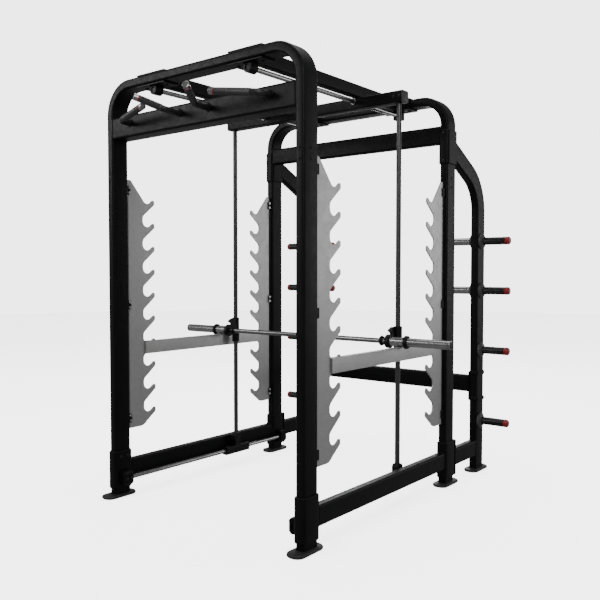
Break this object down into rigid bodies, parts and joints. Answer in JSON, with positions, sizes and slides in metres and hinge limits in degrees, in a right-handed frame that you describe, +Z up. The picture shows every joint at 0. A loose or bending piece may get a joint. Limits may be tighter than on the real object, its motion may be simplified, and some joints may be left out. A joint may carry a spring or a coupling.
{
  "type": "smith machine",
  "caption": "Free-standing three-axis smith machine: bent-tube frame, toothed hook plates, a travelling carriage with guide rods and a guided bar, safety arms and plate storage pegs.",
  "frame": {"origin": "on the floor, under the middle of the whole machine's box", "axes": "+Z up, +Y from the open front with the pull-up handles to the plate storage, +X to the right seen from the front"},
  "size_m": [1.952, 2.1578, 2.328],
  "materials": {
    "frame_black": "satin black powder coat",
    "foot_grey": "dark grey textured coat",
    "plate_grey": "satin metallic grey",
    "rod_steel": "dark ground steel",
    "chrome": "polished chrome",
    "bearing_steel": "ground steel",
    "cap_grey": "moulded grey plastic",
    "housing_black": "black coat",
    "red_plastic": "red moulded plastic",
    "grip_rubber": "matt black rubber",
    "bolt_black": "black oxide steel"
  },
  "bodies": {
    "frame": {"foot_front_left": "foot_grey", "foot_front_right": "foot_grey", "foot_rear_left": "foot_grey", "foot_rear_right": "foot_grey", "foot_storage_left": "foot_grey", "foot_storage_right": "foot_grey", "front_arch": "frame_black", "hook_plate_front_left": "plate_grey", "hook_plate_front_right": "plate_grey", "hook_plate_rear_left": "plate_grey", "hook_plate_rear_right": "plate_grey", "lower_rail_left": "chrome", "lower_rail_right": "chrome", "pull_up_beam": "frame_black", "pull_up_handle_inner_left": "frame_black", "pull_up_handle_inner_right": "frame_black", "pull_up_handle_outer_left": "frame_black", "pull_up_handle_outer_right": "frame_black", "rear_arch": "frame_black", "rear_crossbeam": "frame_black", "safety_arm_left": "plate_grey", "safety_arm_right": "plate_grey", "side_beam_left": "frame_black", "side_beam_right": "frame_black", "storage_beam_left": "frame_black", "storage_beam_right": "frame_black", "storage_crossbeam": "frame_black", "storage_peg_1_left": "chrome", "storage_peg_1_right": "chrome", "storage_peg_2_left": "chrome", "storage_peg_2_right": "chrome", "storage_peg_3_left": "chrome", "storage_peg_3_right": "chrome", "storage_peg_4_left": "chrome", "storage_peg_4_right": "chrome", "storage_upright_left": "frame_black", "storage_upright_right": "frame_black", "top_beam_left": "frame_black", "top_beam_right": "frame_black", "upper_rail_left": "chrome", "upper_rail_right": "chrome"},
    "carriage": {"carriage_beam": "frame_black", "carriage_cap_left": "cap_grey", "carriage_cap_right": "cap_grey", "guide_rod_left": "rod_steel", "guide_rod_right": "rod_steel", "lower_carriage_left": "housing_black", "lower_carriage_right": "housing_black", "upper_bearing_left": "bearing_steel", "upper_bearing_right": "bearing_steel"},
    "bar_lift": {"rod_housing_left": "housing_black", "rod_housing_right": "housing_black"},
    "bar": {"bar_shaft": "chrome", "clamp_collar_left": "housing_black", "clamp_collar_right": "housing_black", "racking_collar_left": "chrome", "racking_collar_right": "chrome"},
    "sleeve_left": {"plate_sleeve_left": "chrome"},
    "sleeve_right": {"plate_sleeve_right": "chrome"}
  },
  "joints": [
    {"name": "carriage_travel", "type": "slide", "parent": "frame", "child": "carriage", "axis": [0, 1, 0], "range_m": [-0.52, 0.25]},
    {"name": "bar_travel", "type": "slide", "parent": "carriage", "child": "bar_lift", "axis": [0, 0, 1], "range_m": [0, 1.2]},
    {"name": "bar_spin", "type": "hinge", "parent": "bar_lift", "child": "bar", "pos_m": [0, 0.021, 0.8945], "axis": [1, 0, 0], "continuous": true},
    {"name": "sleeve_spin_left", "type": "hinge", "parent": "bar", "child": "sleeve_left", "pos_m": [-0.84, 0.021, 0.8945], "axis": [1, 0, 0], "continuous": true},
    {"name": "sleeve_spin_right", "type": "hinge", "parent": "bar", "child": "sleeve_right", "pos_m": [0.84, 0.021, 0.8945], "axis": [1, 0, 0], "continuous": true}
  ]
}
